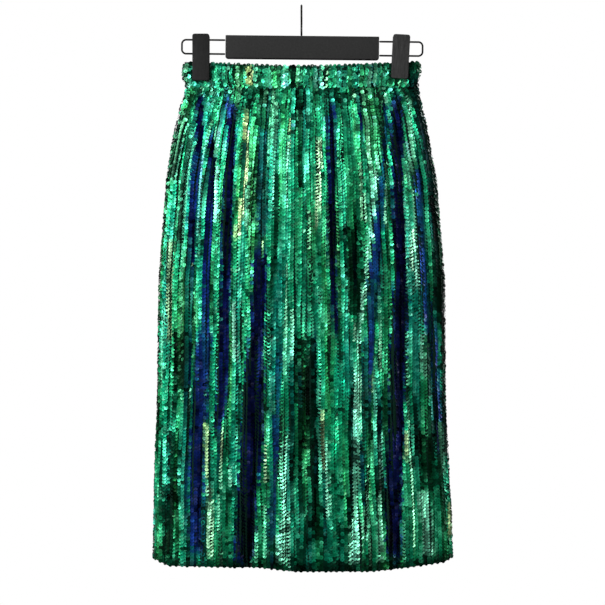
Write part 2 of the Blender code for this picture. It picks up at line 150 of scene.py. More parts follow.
GATHERS, STEPS_A_GATHER = 28, 4
GATHER_SHIFTS = ((0.008, 3, 0.0), (0.004, 7, 1.3))  # uneven spacing: size, waves across, phase
GATHER_SWELLS = ((0.35, 0.37, 0.0), (0.20, 0.91, 2.0))  # uneven height: size, turn a step, phase
PLAN_STEPS, SHIFT_STEPS = 1200, 2000  # along a side's plan, and of the gathers' spacing

# --- the thin cloth
CLOTH_THICKNESS = 0.0008
CLOTH_COLUMNS, SEAM_CROWDING = 260, 0.35  # across one side, and how they crowd at its seams
PANEL_LEVELS, BAND_LEVELS = 70, 14

# --- sequins
SEQUIN_R, HOLE_R, SEQUIN_SIDES, SEQUIN_CUP = 0.0028, 0.00055, 10, radians(5.5)
SEQUIN_COLOUR = "sequin_colour"  # the attribute that holds each sequin's colour and gloss
BAKE_MAP, BAKE_FILL = "OFBake", 0.6  # the map for baked colours: a cell a sequin, filled so far
CHAINS, FINE_STEPS = 104, 4  # upright chains across one side, and steps from one to the next
CHAIN_PITCH = 0.0045  # from sequin to sequin down a chain
SEQUIN_STANDS = 0.0008  # its middle, out from the cloth
SHINGLE = radians(5)  # the lower rim stands off the sequin below
FELT_LEVELS, GATHERS_FELT = (0.03, 0.06), (0.20, 0.12)  # how far sequins lean with the gathers
GATHERS_TINT, FOLD_TINT = 0.12, 0.35  # and how far their colour, with its painted shade and highlight, follows gathers and folds
# A DRIFT says over how many sequins down and chains across smooth noise changes.
YAW_RIPPLE, YAW_JITTER, YAW_DRIFT = radians(8), radians(4), (11.0, 0.75)
PITCH_RIPPLE, PITCH_JITTER, PITCH_DRIFT = radians(5), radians(3.5), (3.0, 1.0)
CHAIN_SWAY, SWAY_DRIFT = 0.0006, (6.0, 0.3)  # how far a sequin strays sideways
CHAIN_SLIP, SLIP_DRIFT = 0.0012, (8.0, 0.3)  # and along its chain
CHAIN_LIFT, LIFT_DRIFT = 0.0003, (14.0, 0.3)  # and how far chains lie over one another
STRAY_LIMIT, END_ROWS = 2, 5.0  # of the noise, and the rows over which slips fade at both ends
TUMBLE, TUMBLE_ENDS = 3.6, 0.085  # sequins lie this many times wilder in the casing
SHEEN_FOLLOWS = 0.35  # how far a sequin's colour, with its painted shade and highlight, follows its own ripple
FLIPPED_SHADE, PLAIN_SHADE, SHADE_SPREAD = 0.10, 0.85, 0.3  # a flipped one shows its dark back
FLIPS_DRIFT, FLIPS_OWN = (2.6, 1.1), 0.7  # flips come together, and by themselves this much
FLIP_LEVELS = (0.0, 0.012, 0.024, 0.034, 0.06, 0.13, 0.63, 0.64)
FLIP_SHARES = (0.25, 0.07, 0.08, 0.38, 0.08, 0.04, 0.08, 0.40)
# The last is a painted highlight: how far the brightest sequins go toward mint.
SHADE_RIPPLE, SHADE_JITTER, SHADE_DRIFT, PALE_LIGHTS = 0.32, 0.24, (3.0, 0.8), 0.22
STREAK_RAGGED, STREAK_SOFT = 0.12, 0.60  # of a streak's half width
STREAK_ENDS = 10  # a streak fades in and out over a tenth of its length
FLANK_WIDTH, FLANK_LEANS = 3.5, 0.24  # beside a blue streak: millimetres, and a share of its lean
PATCH_FILL, PATCH_REST = 0.85, 0.3  # of a dark patch is dark, and how dark its other sequins get
SIDE_RUFFLE, SIDE_REACH = 4.0, 0.03  # sequins lie wilder within this share of the side seams
ROW_INSET = 0.0014  # of the first and last sequins' middles, from the cloth's edges
SPARKLE_SHARE, DULL_COAT, LEAST_GLOSS = 0.19, 0.15, 0.1  # the coats of the rest, and in the dark
GLINT_YAW, GLINT_TURN = radians(20), radians(17)  # to the key light, and more a metre
GLINT_PITCHES = radians(9), radians(19)  # at the waist and at the hem
STRANDS_DRIFT, STRAND_LEVELS = (14.0, 0.35), (0.04, 0.16, 0.40)
DARK_STRANDS, GLINT_STRANDS = (0.05, 0.08, 0.13), (0.19, 0.12, 0.06)  # the shares of them there
STRAND_SHADE, STRAND_MINT = 0.22, 0.33
MINT, GOLD = (0.120, 0.480, 0.340), (0.460, 0.460, 0.180)  # the palest and the yellowest: painted highlight colours, the gold partly the sequins' iridescence
PALE_COAT = 1.6  # how far a sequin's gloss follows its mint
LOOK_LEVELS = (0.0, 0.003, 0.008, 0.020, 0.075, 0.125, 0.300, 0.637, 0.643, 0.6505)
# Painted light by level: brighter over the casing and just below it, where the cloth faces up to the
# lamps; darker at the top rim and along the hem.
PAINTED_LIGHT_BY_LEVEL = (0.25, 0.5, 1.5, 1.65, 1.80, 1.34, 0.92, 0.90, 0.35, 0.12)
PALER = (0.0, 0.1, 0.10, 0.08, 0.04, 0.02, 0.0, 0.0, 0.0, 0.0)  # how far the colour goes to mint, a painted highlight over the casing and just below it
JAW_CLEAR, JAW_SHADOW, JAW_SHADE = 0.0012, 0.0030, 0.2  # bare round a jaw, then so dark
SHEEN_GREEN, LEAST_COLOUR = 0.27, 0.002  # of a sequin square to the eye; and of any sequin
HUE_DRIFT, HUE_LIMIT = (16.0, 1.3), 2
GREENER, BLUER = (0.006, 0.00, -0.020), (0.0, -0.02, 0.020)  # one step of each way of the drift

# Upright strips of sequins that lean together, or dark patches where the lean is 0. The lean is
# in degrees to the right, the width and the path (drop, x, drop, x, ...) in millimetres, and mint
# and gold say how far the colour goes to them. The shade scales brightness: on a streak that leans,
# below 1 it is painted shade and above 1 painted light; a dark patch is flipped sequins, except
# along the right edge, where it is painted shade. Later streaks win over earlier ones.
Streak = namedtuple("Streak", "lean shade width path mint gold", defaults=(0.0, 0.0))
FRONT_STREAKS = (
    # A broad patch made brighter: painted light.
    (1, 1.4, 32, (350, 42, 440, 45, 530, 46)),
    (28, 0.6, 8, (36, -130, 82, -131, 128, -134)),
    (15, 0.8, 10, (112, -133, 146, -136, 211, -139)),
    (24, 0.5, 7, (200, -139, 262, -140)),
    (20, 1.0, 8, (70, -115, 126, -115, 189, -118, 253, -121, 330, -123, 417, -128)),
    (20, 0.9, 18, (330, -123, 417, -128, 505, -134, 650, -135)),
    (28, 0.9, 11, (25, -90, 104, -90, 232, -95, 296, -97, 385, -101, 493, -105)),
    (10, 0.9, 14, (74, -50, 189, -49, 234, -52)),
    (27, 0.85, 17, (224, -51, 306, -54, 407, -60, 493, -64, 564, -69, 645, -73)),
    (30, 0.75, 23, (380, -58, 493, -64, 564, -69, 655, -74)),
    (13, 0.9, 8, (350, -26, 395, -28, 483, -34, 548, -37, 637, -39)),
    (27, 0.8, 8, (38, 38, 146, 38, 211, 38, 275, 41, 318, 42, 363, 46)),
    (24, 0.8, 4, (35, 74, 88, 75)),
    (13, 1.3, 7, (50, 109, 94, 108, 125, 105)),
    (17, 1.4, 8, (115, 106, 133, 104, 190, 101)),
    (14, 1.5, 12, (175, 102, 242, 96, 293, 92)),
    (11, 1.3, 15, (275, 93, 345, 89, 410, 82)),
    (12, 0.9, 9, (385, 83, 429, 82, 560, 78)),
    (29, 0.65, 19, (275, 127, 306, 128, 395, 124, 471, 121, 537, 118, 650, 119)),
    (29, 0.5, 13, (32, 123, 168, 123, 232, 125, 306, 128, 395, 124)),
    (13, 0.75, 10, (121, 145, 189, 151, 253, 156, 318, 162, 363, 167)),
    (15, 0.65, 11, (300, 160, 363, 167, 429, 173, 520, 179)),
    (0, 0.12, 20, (213, 66, 330, 69)),
    (0, 0.08, 19, (345, 8, 505, 10)),
    (0, 0.10, 12, (480, 15, 620, 18)),
    (0, 0.12, 6, (339, -8, 539, -10)),
    (0, 0.12, 4, (410, 63, 616, 61)),
    (0, 0.12, 4, (422, 99, 564, 99)),
    # Painted shade down the right edge, where the side turns away from the key light, here and in the
    # next row.
    (8, 0.06, 14, (-5, 147, 31, 145, 113, 162, 152, 169, 203, 173, 281, 179, 350, 180)),
    (0, 0.10, 9, (300, 181, 360, 183, 430, 184, 520, 187)),
    (0, 0.07, 16, (345, -158, 425, -154)),
    (0, 0.22, 20, (475, 158, 555, 163)),
    (0, 0.07, 15, (470, -163, 570, -161)),
    (0, 0.07, 15, (540, -170, 645, -172)),
    (0, 0.14, 4, (399, -82, 422, -79)),
    (-19, 1.1, 5, (77, -108, 210, -109), 0.6),
    (-19, 1.1, 5, (100, -17, 193, -20), 0.5),
    (-19, 1.1, 6, (90, 23, 219, 19), 0.5, 0.3),
    (-20, 1.2, 6, (105, 100, 177, 92, 216, 89, 293, 81, 345, 74, 400, 70), 0.6),
    (-18, 1.1, 4, (120, 110, 216, 106), 0.5),
    (-19, 1.1, 9, (380, 72, 487, 71, 590, 68, 642, 65), 0.55),
    (-19, 1.2, 16, (584, 69, 644, 66), 0.7),
    (-19, 1.1, 7, (42, 138, 150, 142), 0.5),
    (-19, 1.1, 5, (150, 143, 300, 149), 0.4),
    (-17, 1.2, 12, (60, -152, 158, -167), 0.45),
    (-15, 1.2, 8, (80, -140, 240, -156), 0.2),
    (-17, 1.2, 8, (135, -171, 230, -178), 0.45),
    (-19, 1.1, 7, (474, -20, 564, -23, 639, -25), 0.6),
    (-19, 1.2, 15, (603, -24, 644, -25), 0.6),
    (-19, 1.1, 5, (306, -86, 386, -84), 0.6),
    (-19, 1.1, 5, (487, -47, 541, -46), 0.5, 0.3),
    (-19, 1.1, 7, (536, -119, 644, -115), 0.4, 0.2),
    (-19, 1.1, 6, (345, 154, 410, 159), 0.5),
    (-19, 1.2, 15, (549, 154, 597, 159, 644, 163), 0.6),
    (-19, 1.1, 6, (461, 179, 541, 180), 0.5),
    (-19, 1.1, 4, (416, -143, 506, -148), 0.5),
    (-17, 1.1, 6, (481, 32, 590, 34), 0.4),
    (-19, 1.1, 8, (584, 99, 642, 99), 0.6),
    (-19, 1.1, 5, (470, 101, 590, 100), 0.5),
    (-19, 1.1, 6, (510, 85, 615, 80), 0.5),
    (-17, 1.0, 5, (52, -72, 126, -70, 177, -75, 235, -83), 0.2, 0.5),
    (-15, 1.1, 9, (2, -68, 28, -66), 0.0, 0.55),
    (-17, 1.1, 5, (68, -15, 113, -15), 0.1, 0.35),
    (-15, 1.1, 8, (223, -167, 364, -170), 0.1, 0.3),
    (-16, 1.1, 5, (461, -121, 539, -122), 0.1, 0.35),
    (-16, 1.1, 4, (442, 28, 526, 28), 0.1, 0.35),
    (-16, 1.1, 4, (474, 134, 515, 134), 0.1, 0.35),
    (-16, 1.1, 5, (571, 189, 622, 190), 0.1, 0.4),
    (-18, 1.1, 4, (210, 141, 274, 143), 0.3, 0.15),
)
BACK_STREAKS = (
    (24, 0.9, 10, (30, -127, 170, -136, 420, -148, 600, -150)),
    (18, 1.1, 8, (60, -102, 240, -112, 440, -120)),
    (28, 0.8, 14, (10, -80, 220, -86, 420, -92, 640, -96)),
    (11, 1.0, 9, (70, -48, 250, -58, 360, -62)),
    (27, 0.9, 13, (240, -26, 420, -34, 640, -42)),
    (18, 1.1, 8, (40, 8, 240, 5, 420, -3)),
    (27, 0.9, 9, (330, 38, 480, 36, 640, 34)),
    (30, 0.7, 14, (20, 56, 240, 62, 430, 68, 610, 71)),
    (16, 0.9, 7, (60, 89, 250, 92, 400, 98)),
    (24, 0.9, 10, (220, 119, 420, 121, 640, 116)),
    (18, 1.1, 12, (30, 132, 220, 142, 430, 150, 640, 155)),
    (0, 0.12, 7, (120, -100, 300, -108)),
    (0, 0.14, 9, (330, -8, 560, -6)),
    (0, 0.12, 4, (360, 50, 600, 52)),
    (0, 0.12, 4, (200, 24, 340, 26)),
    # Painted shade down the back's edge at -x, which turns away from the back's key light.
    (6, 0.10, 10, (0, -146, 150, -166, 320, -180)),
    (-19, 1.1, 7, (60, -116, 230, -126, 400, -136), 0.5),
    (-19, 1.1, 5, (120, -66, 260, -72), 0.1, 0.4),
    (-19, 1.1, 8, (300, -76, 460, -80, 640, -84), 0.55),
    (-19, 1.1, 5, (90, -30, 230, -36), 0.5),
    (-19, 1.1, 6, (70, 22, 210, 24), 0.3, 0.4),
    (-19, 1.2, 14, (590, 6, 645, 5), 0.6),
    (-19, 1.1, 7, (420, 52, 560, 54, 645, 55), 0.5),
    (-19, 1.1, 8, (240, 82, 420, 88), 0.55),
    (-17, 1.1, 5, (60, 106, 170, 108), 0.1, 0.35),
    (-19, 1.2, 13, (560, 98, 645, 96), 0.6),
    (-19, 1.1, 6, (440, 132, 560, 136), 0.5),
    (-16, 1.1, 7, (90, 150, 300, 166), 0.4),
    (-15, 1.1, 7, (300, 172, 460, 176), 0.1, 0.3),
)

# Its hue shift is the sequins' iridescence; its dark navy and near black to the right are painted
# shade on flanks turned from the key light, and its pale stops to the left a painted highlight where
# flanks face it.
IRIDESCENCE_AND_PAINTED_LIGHT = (  # a sequin's colour by how far its fold leans, in degrees, to the right if above 0
    (-42, (0.260, 0.310, 0.140)),
    (-30, (0.130, 0.330, 0.150)),
    (-16, (0.035, 0.310, 0.130)),
    (-4, (0.004, 0.290, 0.115)),
    (5, (0.002, 0.265, 0.125)),
    (11, (0.003, 0.180, 0.190)),
    (17, (0.007, 0.045, 0.270)),
    (26, (0.004, 0.010, 0.110)),
    (42, (0.002, 0.005, 0.022)),
)


def smooth(t):
    """From 0 to 1 with soft ends."""
    t = np.clip(t, 0.0, 1.0)
    return t * t * (3.0 - 2.0 * t)


def unit(a):
    """Vectors of length 1 in the same directions."""
    return a / np.linalg.norm(a, axis=-1, keepdims=True)


def add_object(name, data):
    made = bpy.data.objects.new(name, data)
    bpy.context.scene.collection.objects.link(made)
    return made


def section(drop, name):
    """A value of the cloth's section at a level below the waist's top."""
    return np.interp(drop, SECTION["drop"], SECTION[name])


def side_width(x, drop):
    """The section's width on that side of its middle where x lies."""
    return np.where(x < 0.0, section(drop, "left"), section(drop, "right"))


def clear_of_clips(x, drop):
    """0 where a clip presses the cloth flat, 1 where the cloth is free."""
    free = np.ones_like(x)
    for each in CLIPS:
        beyond = (x - each.x) * math.copysign(1.0, each.x)
        ease = np.where(beyond > 0.0, GRIP_EASE_OUT, GRIP_EASE_IN)
        free = free * smooth((np.abs(beyond) - GRIP_HALF_WIDTH) / ease)
    forgets = smooth((drop - BAND_HEIGHT) / GRIP_FADES)
    return free + (1.0 - free) * forgets


def gather_places(share):
    """Turns places across a side into counts of gather steps, which are spaced unevenly."""
    even = np.linspace(0.0, 1.0, SHIFT_STEPS)
    shifted = even
    for size, waves, phase in GATHER_SHIFTS:
        shifted = shifted + size * np.sin(waves * tau * even + phase)
    shifted = (shifted - shifted[0]) / (shifted[-1] - shifted[0])
    return np.interp(share, shifted, even) * GATHERS * STEPS_A_GATHER


def outward(turn):
    """Unit vectors at right angles to a line's direction, on its outer side."""
    turn = unit(turn)
    return np.stack([turn[..., 1], -turn[..., 0]], axis=-1)


def resample(at, along, points):
    """A line's points, or its turns, at other distances along it."""
    return np.stack([np.interp(at, along, values) for values in points.T], axis=-1)


def plan_line(drop, share, side):
    """The smooth middle line of one side at a level, and its outward directions.

    side is -1 for the front, which runs to +X, and 1 for the back, which runs to -X."""
    across = -np.cos(np.linspace(0.0, pi, PLAN_STEPS)) * -side
    x = side_width(across, drop) * across
    bow = section(drop, "depth") * np.sqrt(1.0 - np.abs(across) ** section(drop, "squareness"))
    free = clear_of_clips(x, drop)
    y = side * (free * bow + (1.0 - free) * np.minimum(bow, GRIP))
    along = np.concatenate(([0.0], np.cumsum(np.hypot(np.diff(x), np.diff(y)))))
    at, line = share * along[-1], np.stack([x, y], axis=-1)
    turn = resample(at, along, np.gradient(line, along, axis=0))
    return resample(at, along, line), outward(turn)


def fold_relief(x, drop, folds):
    """How far the folds push the cloth outward at places x of one level."""
    push = np.zeros_like(x)
    for fold in map(Fold._make, folds):
        centre = np.interp(drop, FOLD_LEVELS, (fold.top, fold.middle, fold.hem))
        strength = smooth((drop - fold.starts) / FOLD_TAPER) * smooth((fold.ends - drop) / FOLD_TAPER)
        spread = fold.reach * FOLD_SPREAD
        ridge = np.exp(-(((x - centre + fold.reach / 2) / spread) ** 2))
        trough = np.exp(-(((x - centre - fold.reach / 2) / spread) ** 2))
        push += 0.5 * fold.depth * strength * (ridge - trough)
    return push


def sag(x, drop):
    """How far a level hangs below its height at the clips."""
    slack = np.maximum(0.0, 1.0 - (x / CLIPS[1].x) ** 2)
    waist = np.interp(drop, (0.0, BAND_HEIGHT, SAG_ENDS), (TOP_SAG, STITCH_SAG, 0.0)) * slack
    hem = np.interp(x / side_width(x, drop), HEM_ACROSS, HEM_HANGS)
    return waist + hem * (drop / HEM_DROP) ** HEM_POWER


def side_row(drop, share, side, gathered):
    """The cloth's middle surface at places across one side at one level, and its smooth outside."""
    line, out = plan_line(drop, share, side)
    folds = FRONT_FOLDS if side < 0 else BACK_FOLDS
    place = gather_places(share)
    height = 1.0
    for size, turn, phase in GATHER_SWELLS:
        height = height + size * np.sin(place * turn + phase)
    gathers = section(drop, "gather") * height * np.cos(place * tau / STEPS_A_GATHER)
    puff = CASING_PUFF * math.sin(pi * min(1.0, drop / BAND_HEIGHT))
    push = fold_relief(line[:, 0], drop, folds) + gathers * gathered + puff
    push *= smooth(np.minimum(share, 1.0 - share) / SEAM_EASE) * clear_of_clips(line[:, 0], drop)
    line = line + out * push[:, None]
    z = WAIST_TOP_Z - drop - sag(line[:, 0], drop)
    return np.column_stack([line, z]), out


def surface(side, drops, share, gathered=1.0):
    """Points of the middle surface and smooth outward directions, as levels by places."""
    gathered = np.broadcast_to(gathered, np.shape(drops))
    rows = [side_row(d, share, side, g) for d, g in zip(drops, gathered)]
    return np.array([row for row, _ in rows]), np.array([out for _, out in rows])


def mesh_object(name, points, faces):
    """A smooth mesh from arrays, all of whose faces have the same number of corners."""
    points, faces = np.asarray(points, np.float32), np.asarray(faces, np.int32)
    mesh = bpy.data.meshes.new(name)
    mesh.vertices.add(len(points))
    mesh.vertices.foreach_set("co", points.ravel())
    mesh.loops.add(faces.size)
    mesh.loops.foreach_set("vertex_index", faces.ravel())
    mesh.polygons.add(len(faces))
    mesh.polygons.foreach_set("loop_start", np.arange(len(faces), dtype=np.int32) * faces.shape[1])
    mesh.polygons.foreach_set("use_smooth", np.full(len(faces), True))
    mesh.update(calc_edges=True)
    return add_object(name, mesh)


def wall_faces(levels, count, closed):
    """Quads of a two-layer wall with rims: the outer layer's points come first."""
    inner, faces = levels * count, []
    spans = count if closed else count - 1
    for j in range(levels - 1):
        for i in range(spans):
            a, b = j * count + i, j * count + (i + 1) % count
            faces.append((a, a + count, b + count, b))
            faces.append((inner + a, inner + b, inner + b + count, inner + a + count))
    last, rims = (levels - 1) * count, []
    for a, b in ((i, (i + 1) % count) for i in range(spans)):
        rims += [(a, b), (last + b, last + a)]
    if not closed:
        for a, b in ((j * count, (j + 1) * count) for j in range(levels - 1)):
            rims += [(b, a), (a + count - 1, b + count - 1)]
    return faces + [(a, b, inner + b, inner + a) for a, b in rims]


def cloth_piece(name, rows, wall, closed):
    """A thin wall just inside the outer face of the solid whose middle surface rows is."""
    levels, count, _ = rows.shape
    if closed:
        turn = np.roll(rows, -1, axis=1) - np.roll(rows, 1, axis=1)
    else:
        turn = np.gradient(rows, axis=1)
    out = np.zeros_like(rows)
    out[:, :, :2] = outward(turn[:, :, :2])
    outer = rows + out * wall / 2
    inner = outer - out * CLOTH_THICKNESS
    points = np.concatenate([outer.reshape(-1, 3), inner.reshape(-1, 3)])
    return mesh_object(name, points, wall_faces(levels, count, closed))


def make_cloth():
    """The thin front, back and casing, in their solids' places."""
    crowded = (1.0 - np.cos(np.linspace(0.0, pi, CLOTH_COLUMNS))) / 2
    even = np.linspace(0.0, 1.0, CLOTH_COLUMNS)
    share = SEAM_CROWDING * crowded + (1.0 - SEAM_CROWDING) * even
    pieces = []
    for name, side in (("cloth_front", -1), ("cloth_back", 1)):
        drops = np.linspace(BAND_HEIGHT + GAP, HEM_DROP, PANEL_LEVELS)
        rows, _ = surface(side, drops, share)
        rows[:, :, 1] += side * GAP / 2
        pieces.append(cloth_piece(name, rows, PANEL_WALL, closed=False))
    drops = np.linspace(0.0, BAND_HEIGHT, BAND_LEVELS)
    ring = np.concatenate([surface(side, drops, share[:-1])[0] for side in (-1, 1)], axis=1)
    return [*pieces, cloth_piece("cloth_waist", ring, BAND_WALL, closed=True)]


def closed_mesh(name, rings):
    """A mesh through rings of points and across both ends, with its faces turned outward."""
    rings, faces = np.asarray(rings), []
    levels, count, _ = rings.shape
    for j in range(levels - 1):
        for i in range(count):
            a, b = j * count + i, j * count + (i + 1) % count
            faces.append((a, b, b + count, a + count))
    for first in (0, (levels - 1) * count):
        for i in range(count // 2 - 1):
            near, far = first + i, first + count - 1 - i
            faces.append((near, near + 1, far - 1, far))
    made = mesh_object(name, rings.reshape(-1, 3), faces)
    shape = bmesh.new()
    shape.from_mesh(made.data)
    bmesh.ops.recalc_face_normals(shape, faces=shape.faces)
    shape.to_mesh(made.data)
    shape.free()
    return made


def slab_ring(half_width, y_front, y_back, radius, crown):
    """Points round a rounded rectangle, anticlockwise seen from above. Its front is crowned."""
    ring = []
    face = np.linspace(half_width - radius, radius - half_width, FACE_STEPS)[1:-1]
    for k, (x, turn) in enumerate(CORNERS):
        y, angles = y_back if turn > 0 else y_front, k * pi / 2 + QUARTER
        middle, inner = x * (half_width - radius), y - turn * radius
        ring += zip(middle + radius * np.cos(angles), inner + radius * np.sin(angles))
        if x == turn:
            ring += [(turn * across, y) for across in face]
    ring = np.array(ring)
    bulge = crown * (1.0 - np.clip(np.abs(ring[:, 0]) / half_width, 0.0, 1.0) ** 2)
    nearer = math.copysign(1.0, y_front + y_back) if y_front + y_back else -1.0
    on_front = ring[:, 1] * nearer > (y_front + y_back) / 2 * nearer
    ring[:, 1] += np.where(on_front, bulge * nearer, 0.0)
    return ring


def smooth_slab(name, width, height, y_front, y_back, top_r, bottom_r, edge_r, flare=0.0, crown=0.0):
    """An upright plate about z = 0 with round corners and edges. Its top flares outward."""
    rise, inset = 1.0 - np.cos(QUARTER), 1.0 - np.sin(QUARTER)
    between = np.linspace(bottom_r - height / 2, height / 2 - top_r, LEVEL_STEPS)[1:-1]
    levels = np.concatenate([bottom_r * rise - height / 2, between, (height / 2 - top_r * rise)[::-1]])
    insets = np.concatenate([bottom_r * inset, 0.0 * between, top_r * inset[::-1]])
    lean = math.copysign(flare, y_front + y_back) * np.maximum(0.0, levels / (height / 2)) ** 2
    near_end = np.clip(1.0 - (height / 2 - np.abs(levels)) / edge_r, 0.0, 1.0)
    drawn_in = edge_r * (1.0 - np.sqrt(1.0 - near_end**2)) * EDGE_DRAW
    rings = []
    for z, side, out, draw in zip(levels, insets, lean, drawn_in):
        front, back = y_front + draw + out, y_back - draw + out
        ring = slab_ring(width / 2 - side, front, back, edge_r - draw / 2, crown)
        rings.append(np.column_stack([ring, np.full(len(ring), z)]))
    return closed_mesh(name, rings)


def smooth_wire(name, path, radius, normal):
    """A round wire along a path in the plane of a normal, with rounded ends."""
    path, normal = np.array(path), np.array(normal)
    along = np.concatenate(([0.0], np.cumsum(np.linalg.norm(np.diff(path, axis=0), axis=1))))
    end = radius * (1.0 - np.cos(QUARTER[1:-1]))
    at = np.concatenate([[WIRE_TIP], end, along[(along > radius) & (along < along[-1] - radius)]])
    at = np.concatenate([at, along[-1] - end[::-1], [along[-1] - WIRE_TIP]])
    near = np.clip(1.0 - np.minimum(at, along[-1] - at) / radius, 0.0, 1.0)
    size = radius * np.sqrt(1.0 - near**2)
    line = resample(at, along, path)
    other = np.cross(unit(np.gradient(line, at, axis=0)), normal)
    angle = np.linspace(0.0, tau, WIRE_SIDES, endpoint=False)[None, :, None]
    spokes = np.cos(angle) * normal + np.sin(angle) * other[:, None]
    return closed_mesh(name, line[:, None] + size[:, None, None] * spokes)


def hook_path():
    """From the bar's top up the stem and over the bend, in the Y-Z plane."""
    radius = HOOK_INNER_R + HOOK_WIRE_R
    angles = np.linspace(HOOK_STARTS, HOOK_ENDS, BEND_STEPS)
    bend = np.stack([radius * np.cos(angles), radius * np.sin(angles) - HOOK_INNER_R], axis=-1)
    foot = np.array((0.0, BAR_CENTRE[2] + BAR_HEIGHT / 2 + GAP))
    rising = foot + (0.0, HOOK_STEM_RISES)
    joining = bend[0] + HOOK_STEM_LEADS * np.array((math.sin(HOOK_STARTS), -math.cos(HOOK_STARTS)))
    t = np.linspace(0.0, 1.0, STEM_STEPS)[:-1, None]
    stem = (1 - t) ** 3 * foot + 3 * t * (1 - t) ** 2 * rising
    stem += 3 * t**2 * (1 - t) * joining + t**3 * bend[0]
    line = np.concatenate([stem, bend])
    return np.column_stack([np.zeros(len(line)), line])


def loop_path(side):
    """Out of one end of the bar, round and back in, about the bar's middle."""
    start, turn_x = BAR_WIDTH / 2 + GAP, WIRE_REACH - WIRE_BEND_R
    quarter = np.linspace(0.0, pi / 2, BEND_STEPS // 2)
    straight = np.linspace(start, turn_x, LEVEL_STEPS)[:-1]
    straight = np.column_stack([straight, np.full(len(straight), WIRE_RISE)])
    bend = WIRE_BEND_R * np.column_stack([np.sin(quarter), np.cos(quarter) - 1.0])
    upper = np.concatenate([straight, bend + (turn_x, WIRE_RISE)])
    line = np.concatenate([upper, (upper * (1, -1))[::-1]])
    return np.column_stack([side * line[:, 0], np.zeros(len(line)), line[:, 1]])


def beyond_jaws(centre):
    """How far each sequin's middle lies outside the nearer jaw's outline."""
    reach = np.full(centre.shape[:-1], np.inf)
    for each in CLIPS:
        right, up = centre[..., 0] - each.x, centre[..., 2] - (each.top - each.height / 2)
        c, s = math.cos(each.lean), math.sin(each.lean)
        across, along = right * c - up * s, right * s + up * c
        beside, beyond = np.abs(across) - CLIP_WIDTH / 2, np.abs(along) - each.height / 2
        reach = np.minimum(reach, np.maximum(beside, beyond))
    return reach


def drifts(rng, shape, lengths, limit=np.inf):
    """Smooth noise of unit strength that changes over so many sequins down and chains across."""
    along, across = lengths
    noise = np.fft.rfft2(rng.standard_normal(shape))
    down = np.exp(-((np.fft.fftfreq(shape[0])[:, None] * pi * along) ** 2))
    sideways = np.exp(-((np.fft.rfftfreq(shape[1])[None, :] * pi * across) ** 2))
    made = np.fft.irfft2(noise * down * sideways, s=shape)
    return np.clip(made / made.std(), -limit, limit)


def sequin_template():
    """Points of one sequin about its hole, in its own axes: across, down and out. And its faces."""
    points = []
    for radius, lift in ((SEQUIN_R, 0.0), (HOLE_R, SEQUIN_R * math.tan(SEQUIN_CUP))):
        for k in range(SEQUIN_SIDES):
            angle = tau * k / SEQUIN_SIDES
            points.append((radius * math.cos(angle), radius * math.sin(angle), -lift))
    n = SEQUIN_SIDES
    faces = [(i, i + n, (i + 1) % n + n, (i + 1) % n) for i in range(n)]
    return np.array(points), np.array(faces)


def turned(axis_a, axis_b, angle):
    """Two perpendicular directions turned by an angle in their own plane."""
    c, s = np.cos(angle)[..., None], np.sin(angle)[..., None]
    return axis_a * c + axis_b * s, axis_b * c - axis_a * s


def iridescence_and_painted_light(lean):
    """A sequin's colour by the lean of its fold, in radians: its iridescent hue with painted shade and
    highlight.
    """
    leans, colours = zip(*IRIDESCENCE_AND_PAINTED_LIGHT)
    stops = [radians(degrees) for degrees in leans]
    return np.stack([np.interp(lean, stops, channel) for channel in zip(*colours)], axis=-1)


def sequin_piece(name, places, across, down, out, colour, cell):
    """Joined sequins at places, each with its own three directions and colour, gloss last.

    Its cell, which is its chain and row, gives its place on the map for baked colours."""
    template, faces = sequin_template()
    points = places[:, None]
    for axis, direction in zip(template.T, (across, down, out)):
        points = points + axis[None, :, None] * direction[:, None]
    count = len(template)
    faces = faces[None] + (np.arange(len(places)) * count)[:, None, None]
    made = mesh_object(name, points.reshape(-1, 3), faces.reshape(-1, 4))
    tint = made.data.color_attributes.new(SEQUIN_COLOUR, "FLOAT_COLOR", "POINT")
    tint.data.foreach_set("color", np.repeat(colour, count, axis=0).astype(np.float32).ravel())
    cell = cell - cell.min(axis=0)
    on_map = cell[:, None] + 0.5 + template[None, :, :2] * BAKE_FILL / (2 * SEQUIN_R)
    on_map = (on_map / (cell.max(axis=0) + 1)).reshape(-1, 2)[faces.ravel()]
    uv = made.data.uv_layers.new(name=BAKE_MAP).uv
    uv.foreach_set("vector", on_map.astype(np.float32).ravel())
    return made


